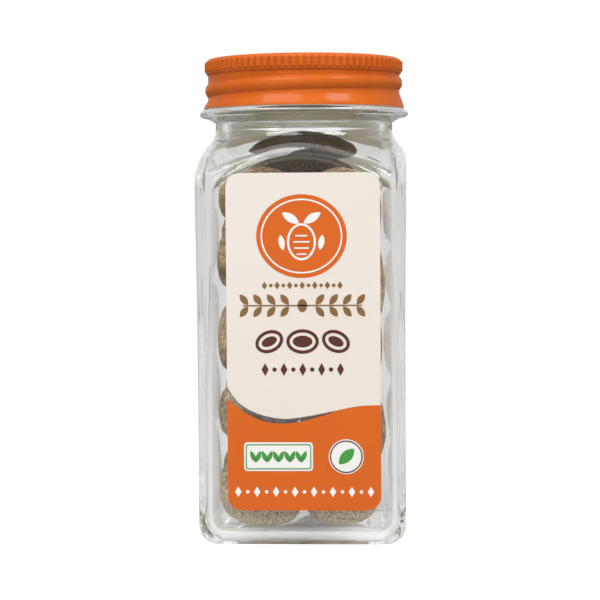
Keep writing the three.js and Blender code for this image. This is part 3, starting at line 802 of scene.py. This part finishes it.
def new_bodies():
    """The nutmegs as three spheres each, on one axis, in the places where they start."""
    bodies = []
    for at, length, diameter, turn, rise in NUTMEGS:
        t, r = math.radians(turn), math.radians(rise)
        axis = Vector((math.cos(t) * math.cos(r), math.sin(t) * math.cos(r), math.sin(r)))
        end = diameter / 2 * END_SPHERE
        bodies.append({
            "home": Vector(at), "middle": Vector(at), "home_axis": axis.copy(), "axis": axis,
            "half": length / 2, "reach": length / 2 - end, "radii": (end, diameter / 2, end),
        })
    return bodies


def keep_inside(p, r):
    """Moves a sphere's middle back into the glass."""
    p.x = clamp(p.x, NUT_WALL - r)
    p.y = clamp(p.y, NUT_WALL - r)
    p.z = max(p.z, NUT_FLOOR + r)
    dome = dome_radius(p.z + DOME_RISE * r, MOUTH_RADIUS, NUT_DOME, INNER_SHOULDER_BOTTOM, INNER_SHOULDER_TOP)
    room = dome - GLASS_GAP - DOME_REACH * r
    out = math.hypot(p.x, p.y)
    if out > room:
        p.x *= room / out
        p.y *= room / out


def push_apart(one, other):
    """Moves the spheres of two nutmegs off each other."""
    near = one["half"] + other["half"] + TOUCH_GAP
    if (one["middle"] - other["middle"]).length > near:
        return
    for p, p_radius in zip(one["points"], one["radii"]):
        for q, q_radius in zip(other["points"], other["radii"]):
            apart = p - q
            overlap = p_radius + q_radius + TOUCH_GAP - apart.length
            if overlap > 0:
                apart *= overlap / 2 / apart.length
                p += apart
                q -= apart


def keep_shape(body):
    """Puts a nutmeg back on one straight axis, wholly inside the glass."""
    def extent(part):
        return math.hypot(body["half"] * part, body["radii"][1] * math.sqrt(1 - part * part))

    low, centre, high = body["points"]
    axis = (high - low).normalized()
    middle = (low + high + 2 * centre) / 4
    middle.x = clamp(middle.x, NUT_WALL - extent(axis.x))
    middle.y = clamp(middle.y, NUT_WALL - extent(axis.y))
    middle.z = max(middle.z, NUT_FLOOR + extent(axis.z))
    body["axis"] = axis
    body["middle"] = middle


def settle():
    """Settles the nutmegs as the solids' source does: they drop, touch and turn."""
    bodies = new_bodies()
    for step in range(SETTLE_STEPS):
        pull = 1 - step / SETTLE_STEPS
        for body in bodies:
            body["middle"].z -= SETTLE_DROP * pull
            body["middle"] += (body["home"] - body["middle"]) * HOLD * pull
            body["axis"] = (body["axis"] + body["home_axis"] * HOLD_TURN * pull).normalized()
            body["points"] = [body["middle"] + body["axis"] * s * body["reach"] for s in (-1, 0, 1)]
        for i, one in enumerate(bodies):
            for other in bodies[i + 1:]:
                push_apart(one, other)
        for body in bodies:
            for p, radius in zip(body["points"], body["radii"]):
                keep_inside(p, radius)
            keep_shape(body)
    return bodies


def furrow_at(place):
    """How deep in a furrow a place is, from 0 on a ridge to 1: the borders of warped cells."""
    warp = noise.noise_vector(place * FURROW_BEND_RATE) * FURROW_BEND
    distances = noise.voronoi(place + warp)[0]
    return math.exp(-((distances[1] - distances[0]) / FURROW_WIDTH) ** 2)


def nutmeg_points(index, length, diameter, body):
    """Points of one nutmeg, with how deep each is in a furrow."""
    turn = Vector((0, 0, 1)).rotation_difference(body["axis"])
    seed = Vector((17.3 * index, 5.1 * index, 29.7))    # each nutmeg has noise of its own
    points = []
    furrows = []
    for k, size in enumerate(NUT_RING_SIZES):
        polar = math.pi * (1 - k / NUT_RINGS)
        along = math.cos(polar)
        thick = diameter / 2 * (1 - EGG * along)
        for j in range(size):
            a = 2 * math.pi * j / size
            out = Vector((math.cos(a) * math.sin(polar), math.sin(a) * math.sin(polar), along))
            place = Vector((out.x * thick, out.y * thick, along * length / 2))
            cell = Vector((place.x, place.y, place.z / FURROW_STRETCH)) / FURROW_CELL + seed
            furrow = furrow_at(cell)
            swell = noise.fractal(place / SWELL_LENGTH + seed, 1.0, 2.0, 2) * SWELL_HEIGHT
            grain = noise.fractal(place / GRAIN_LENGTH + seed, 0.8, 2.0, 3) * GRAIN_HEIGHT
            sunk = FURROW_DEPTH * furrow + SCAR_DEPTH * math.exp(-((1 - along) / SCAR_SIZE) ** 2)
            place += out * min(swell + grain - sunk, HIGHEST_RISE)
            points.append(turn @ place + body["middle"])
            furrows.append(furrow)
    return points, furrows


def make_nutmegs(material):
    one = ring_faces(NUT_RING_SIZES)
    vertices = []
    faces = []
    furrow = []
    tone = []
    for index, (body, nut) in enumerate(zip(settle(), NUTMEGS)):
        points, furrows = nutmeg_points(index, nut[1], nut[2], body)
        start = len(vertices)
        vertices += points
        faces += [tuple(v + start for v in face) for face in one]
        furrow += furrows
        # the top nutmeg gets the full dark tone as painted shade under the cap, and the others a random tone
        # of their own
        tone += [1.0 if index == SHADED_TOP_NUTMEG else MOST_TONE * noise.random()] * len(points)
    heap = mesh_piece("whole_nutmegs", vertices, faces, material)
    for name, values in (("furrow", furrow), ("tone", tone)):
        heap.data.attributes.new(name, "FLOAT", "POINT").data.foreach_set("value", values)
    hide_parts("nutmegs")


# ---- Print ----

class Print:
    """Flat shapes in one ink, on one layer in front of the label's fields."""

    def __init__(self, layer):
        self.back = INK_FRONT - (2 * layer + 1) * PRINT_STEP
        self.vertices = []
        self.faces = []

    def shape(self, outline, hole=None):
        """A closed outline of (x, z), or the band between it and a hole with as many points."""
        count = len(outline)
        start = len(self.vertices)
        loops = [outline] if hole is None else [outline, hole]
        for y in (self.back, self.back - PRINT_STEP):
            for loop in loops:
                self.vertices += [(x, y, z) for x, z in loop]
        layer = count * len(loops)
        for j in range(count):
            k = (j + 1) % count
            for edge in range(len(loops)):
                a, b = start + edge * count + j, start + edge * count + k
                side = (a, b, b + layer, a + layer)
                self.faces.append(side if edge else side[::-1])
            if hole is not None:
                back = (start + j, start + k, start + count + k, start + count + j)
                self.faces.append(back)
                self.faces.append(tuple(v + layer for v in back[::-1]))
        if hole is None:
            ring = tuple(range(start, start + count))
            self.faces.append(ring)
            self.faces.append(tuple(v + layer for v in ring[::-1]))

    def piece(self, name, material):
        piece = mesh_piece(name, self.vertices, self.faces, material, smooth=False)
        piece.data.validate()


def turned(x, z, turn, points):
    """Points about (0, 0), turned by degrees and moved to (x, z)."""
    t = math.radians(turn)
    return [(x + u * math.cos(t) - v * math.sin(t), z + u * math.sin(t) + v * math.cos(t)) for u, v in points]


def oval(x, z, half_x, half_z, turn=0.0, count=48):
    angles = [2 * math.pi * k / count for k in range(count)]
    return turned(x, z, turn, [(half_x * math.cos(a), half_z * math.sin(a)) for a in angles])


def leaf(x, z, length, width, turn, count=10):
    """A pointed leaf from its stalk end at (x, z)."""
    across = [width / 2 * math.sin(math.pi * k / count) ** 0.8 for k in range(count + 1)]
    edge = [(length * k / count, across[k]) for k in range(count + 1)]
    edge += [(length * k / count, -across[k]) for k in range(count - 1, 0, -1)]
    return turned(x, z, turn, edge)


def bar(x, z, half_x, half_z, corner=None):
    """A rounded bar about its middle, with round ends where no corner is given."""
    r = min(half_x, half_z) if corner is None else corner
    points = []
    for side_x, side_z, start in ((1, 1, 0), (-1, 1, 90), (-1, -1, 180), (1, -1, 270)):
        for turn in steps(start, start + 90, 6):
            t = math.radians(turn)
            points.append((x + side_x * (half_x - r) + r * math.cos(t),
                           z + side_z * (half_z - r) + r * math.sin(t)))
    return points


def diamond(x, z, half_x, half_z):
    return [(x + half_x, z), (x, z + half_z), (x - half_x, z), (x, z - half_z)]


def oval_band(x, z, half_x, half_z, width, **more):
    """An oval, and the hole that leaves a band of this width."""
    return oval(x, z, half_x, half_z, **more), oval(x, z, half_x - width, half_z - width, **more)


def bead_row(ink, x, z, half, count, half_x, half_z, radius):
    """A row of diamonds with round beads between them."""
    for k in range(count):
        at = x - half + k * 2 * half / (count - 1)
        ink.shape(oval(at, z, radius, radius, count=20) if k % 2 else diamond(at, z, half_x, half_z))


# Middles and half sizes of the label's printed areas.
BADGE = (LABEL_MIDDLE - 0.3, 71.4, 10.3, 9.5)
SPRIG = (LABEL_MIDDLE - 0.2, 55.6, 13.6)
SMALL_ROW = (LABEL_MIDDLE - 0.2, 60.2, 8.6)
NUT_ROW = (LABEL_MIDDLE - 0.2, 47.4)
RULE_ROW = (LABEL_MIDDLE - 0.2, 41.0, 8.6)
PANEL = (LABEL_MIDDLE - 5.9, 21.0, 7.9, 3.3)
DISC = (LABEL_MIDDLE + 9.6, 21.0, 4.0)
FOOT_ROW = (LABEL_MIDDLE, 12.9, 15.2)


def make_badge(orange, white):
    """An orange medallion with a white ring, and a nutmeg among four leaves."""
    x, z, half_x, half_z = BADGE
    ground = Print(0)
    ground.shape(oval(x, z, half_x, half_z, count=96))
    ground.piece("print_medallion", orange)
    lines = Print(1)
    lines.shape(*oval_band(x, z, half_x - 1.0, half_z - 1.0, 0.35, count=96))
    lines.shape(*oval_band(x, z - 1.3, 3.3, 4.2, 0.5))
    for side in (-1, 1):
        lines.shape(leaf(x + side * 0.5, z + 2.9, 4.6, 1.9, 90 - side * 58))
        lines.shape(leaf(x + side * 4.2, z - 3.2, 3.6, 1.4, 90 - side * 10))
    for drop, half in ((1.4, 1.4), (0.0, 1.9), (-1.4, 1.7), (-2.8, 1.1)):
        lines.shape(bar(x, z - 1.3 + drop, half, 0.17))
    lines.piece("print_medallion_motif", white)


def make_sprig(gold):
    """A gold-brown sprig of leaves about an oval, under a row of diamonds and beads."""
    ink = Print(0)
    x, z, half = SPRIG
    ink.shape(bar(x, z, half, 0.16))
    pairs = 4
    for k in range(-pairs, pairs + 1):
        at = x + k * (half - 1.2) / pairs
        if k == 0:
            ink.shape(oval(x, z, 1.1, 1.5))
            continue
        lean = 38 if k > 0 else -38
        for side in (-1, 1):
            ink.shape(leaf(at, z + side * 0.2, 3.0, 1.5, side * (90 - lean)))
    bead_row(ink, *SMALL_ROW, count=13, half_x=0.62, half_z=0.9, radius=0.42)
    ink.piece("print_sprig", gold)


def make_nut_rows(brown):
    """Dark brown: three nutmegs over a row of diamonds and beads."""
    ink = Print(0)
    x, z = NUT_ROW
    for k, (half_x, half_z, lean) in enumerate(((3.3, 2.5, 24), (3.7, 2.8, 0), (3.3, 2.5, -24))):
        at = x + (k - 1) * 7.6
        ink.shape(*oval_band(at, z, half_x, half_z, 0.75, turn=lean))
        ink.shape(oval(at, z, half_x - 1.45, half_z - 1.45, turn=lean))
    bead_row(ink, *RULE_ROW, count=9, half_x=0.8, half_z=1.5, radius=0.5)
    ink.piece("print_nut_row", brown)


def make_marks(white, green, brown):
    """A white panel and a white disc on the orange field, with plain green leaves."""
    ground = Print(0)
    x, z, half_x, half_z = PANEL
    ground.shape(bar(x, z, half_x, half_z, corner=0.8))
    disc_x, disc_z, radius = DISC
    ground.shape(oval(disc_x, disc_z, radius, radius, count=64))
    ground.piece("print_white_marks", white)
    leaves = Print(1)
    leaves.shape(bar(x, z, half_x - 0.4, half_z - 0.4, corner=0.6),
                 bar(x, z, half_x - 0.65, half_z - 0.65, corner=0.4))
    for k in range(5):
        at = x - 5.2 + k * 2.6
        for side in (-1, 1):
            leaves.shape(leaf(at, z - 1.3, 2.9, 1.1, 90 - side * 24))
    leaves.shape(leaf(disc_x - 1.7, disc_z - 1.7, 5.0, 2.5, 45))
    leaves.piece("print_green_leaves", green)
    ring = Print(1)
    ring.shape(*oval_band(disc_x, disc_z, radius - 0.25, radius - 0.25, 0.3, count=64))
    ring.piece("print_disc_ring", brown)


def make_foot_row(white):
    """White diamonds and beads along the label's foot."""
    ink = Print(0)
    bead_row(ink, *FOOT_ROW, count=15, half_x=0.75, half_z=1.2, radius=0.4)
    ink.piece("print_foot_row", white)


# ---- Stage ----

def stage_material(name, color, seen_color, glow):
    """White to the camera, dim to the light that falls on things, and of its own white and glow
    through the glass."""
    n = Nodes(name)
    path = n.add("LightPath")
    through = n.is_over(path.outputs["Is Transmission Ray"], n.is_over(path.outputs["Diffuse Depth"]))
    n.set(Base_Color=n.mix(through, grey(color), grey(seen_color)), Roughness=0.9, Specular_IOR_Level=0.0)
    lit = n.mix(through, n.ambient(path), grey(glow))
    n.set(Emission_Color=n.mix(path.outputs["Is Camera Ray"], lit, grey(1)), Emission_Strength=1.0)
    return n.material


def stage_piece(name, corners, material):
    mesh = bpy.data.meshes.new(name)
    mesh.from_pydata([Vector(corner) * MM for corner in corners], [], [(0, 1, 2, 3)])
    mesh.materials.append(material)
    piece = bpy.data.objects.new(name, mesh)
    bpy.context.scene.collection.objects.link(piece)
    return piece


def make_stage():
    """A white floor, and a low white screen behind the jar, which shows only through the glass."""
    size, z = STAGE_HALF, -FLOOR_GAP
    corners = [(-size, -size, z), (size, -size, z), (size, size, z), (-size, size, z)]
    stage_piece("floor", corners, stage_material("white_floor", FLOOR_WHITE, FLOOR_SEEN, FLOOR_GLOW))
    y, z = SCREEN_AWAY, SCREEN_HEIGHT
    corners = [(-size, y, 0), (size, y, 0), (size, y, z), (-size, y, z)]
    screen = stage_piece("screen", corners, stage_material("white_screen", 0.0, 0.0, SCREEN_GLOW))
    screen.visible_camera = False


def make_world():
    """White to the camera. A studio shows through the glass: a dark backdrop behind the jar, pale walls at
    its sides and a paler room in front. Reflections show a dim room with a bright ceiling."""
    world = bpy.data.worlds.new("studio")
    bpy.context.scene.world = world
    world.use_nodes = True
    tree = Tree(world.node_tree)
    split = tree.add("SeparateXYZ")
    tree.join(tree.add("TexCoord").outputs["Generated"], split.inputs["Vector"])

    def ramp(axis, stops):
        """A colour along one axis of the direction, with stops from -1 to 1."""
        place = tree.map_range(split.outputs[axis], start=(-1.0, 1.0))
        return tree.ramp(place, [((at + 1) / 2, c if isinstance(c, tuple) else grey(c)) for at, c in stops])

    back = ramp("Z", BACKDROP)
    front = ramp("Z", ROOM)
    room = tree.mix(ramp("Y", [(-0.25, 0), (0.3, 1)]), front, back)
    walls = tree.mix(ramp("X", [(-0.7, 1), (-0.4, 0), (0.4, 0), (0.7, 1)]), room, ramp("Z", WALLS))
    path = tree.add("LightPath")
    gloss = tree.mix(ramp("Y", [(0.0, 0), (0.4, 1)]), ramp("Z", GLOSS), GLOSS_BEHIND)
    seen = tree.mix(path.outputs["Is Transmission Ray"], gloss, walls)
    seen = tree.mix(tree.is_over(path.outputs["Diffuse Depth"]), seen, tree.ambient(path))
    seen = tree.mix(path.outputs["Is Camera Ray"], seen, grey(1))
    tree.join(seen, world.node_tree.nodes["Background"].inputs["Color"])


def make_light(name, at, power, width, height):
    light = bpy.data.lights.new(name, "AREA")
    light.shape = "RECTANGLE"
    light.size = width
    light.size_y = height
    light.energy = power
    lamp = bpy.data.objects.new(name, light)
    lamp.location = at
    lamp.rotation_euler = (Vector(LAMP_AIM) - Vector(at)).to_track_quat("-Z", "Y").to_euler()
    bpy.context.scene.collection.objects.link(lamp)


def make_camera():
    camera = bpy.data.objects.new("camera", bpy.data.cameras.new("camera"))
    camera.data.lens = CAMERA_LENS
    camera.data.sensor_width = CAMERA_SENSOR
    camera.data.shift_x = CAMERA_SHIFT
    camera.data.clip_start = CAMERA_NEAR
    azimuth = math.radians(CAMERA_AZIMUTH)
    away = CAMERA_DISTANCE * MM
    camera.location = (away * math.sin(azimuth), -away * math.cos(azimuth), CAMERA_HEIGHT * MM)
    aim = Euler((math.radians(90 - CAMERA_PITCH), 0, azimuth)).to_matrix()
    camera.rotation_euler = (aim @ Matrix.Rotation(math.radians(CAMERA_ROLL), 3, "Z")).to_euler()
    bpy.context.scene.collection.objects.link(camera)
    bpy.context.scene.camera = camera


def main():
    bpy.context.scene.view_settings.view_transform = "Standard"
    noise.seed_set(CHANCE_SEED)
    make_camera()
    make_world()
    make_stage()
    cycles = bpy.context.scene.cycles
    cycles.max_bounces = LIGHT_BOUNCES
    cycles.transmission_bounces = LIGHT_BOUNCES
    cycles.glossy_bounces = LIGHT_BOUNCES
    for lamp in LAMPS:
        make_light(*lamp)

    make_jar(glass_material())
    make_cap(lacquer_material(), lining_material())
    make_nutmegs(nutmeg_material())

    cream = ink_material("cream_ink", srgb(240, 232, 222), srgb(238, 229, 218))
    orange = ink_material("orange_ink", srgb(223, 107, 38), srgb(220, 104, 36), shine=0.15)
    white = ink_material("white_ink", srgb(250, 248, 245), srgb(246, 244, 240))
    gold = ink_material("gold_brown_ink", srgb(140, 105, 62), srgb(135, 100, 58))
    brown = ink_material("dark_brown_ink", srgb(92, 48, 42), srgb(88, 44, 38))
    green = ink_material("green_ink", srgb(76, 160, 70), srgb(72, 154, 66))
    for node, material in (("label_film", film_material()), ("label_cream_field", cream),
                           ("label_orange_field", orange)):
        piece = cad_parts[node]
        piece.data.materials.clear()
        piece.data.materials.append(material)
    make_badge(orange, white)
    make_sprig(gold)
    make_nut_rows(brown)
    make_marks(white, green, brown)
    make_foot_row(white)

    bpy.context.view_layer.update()


main()
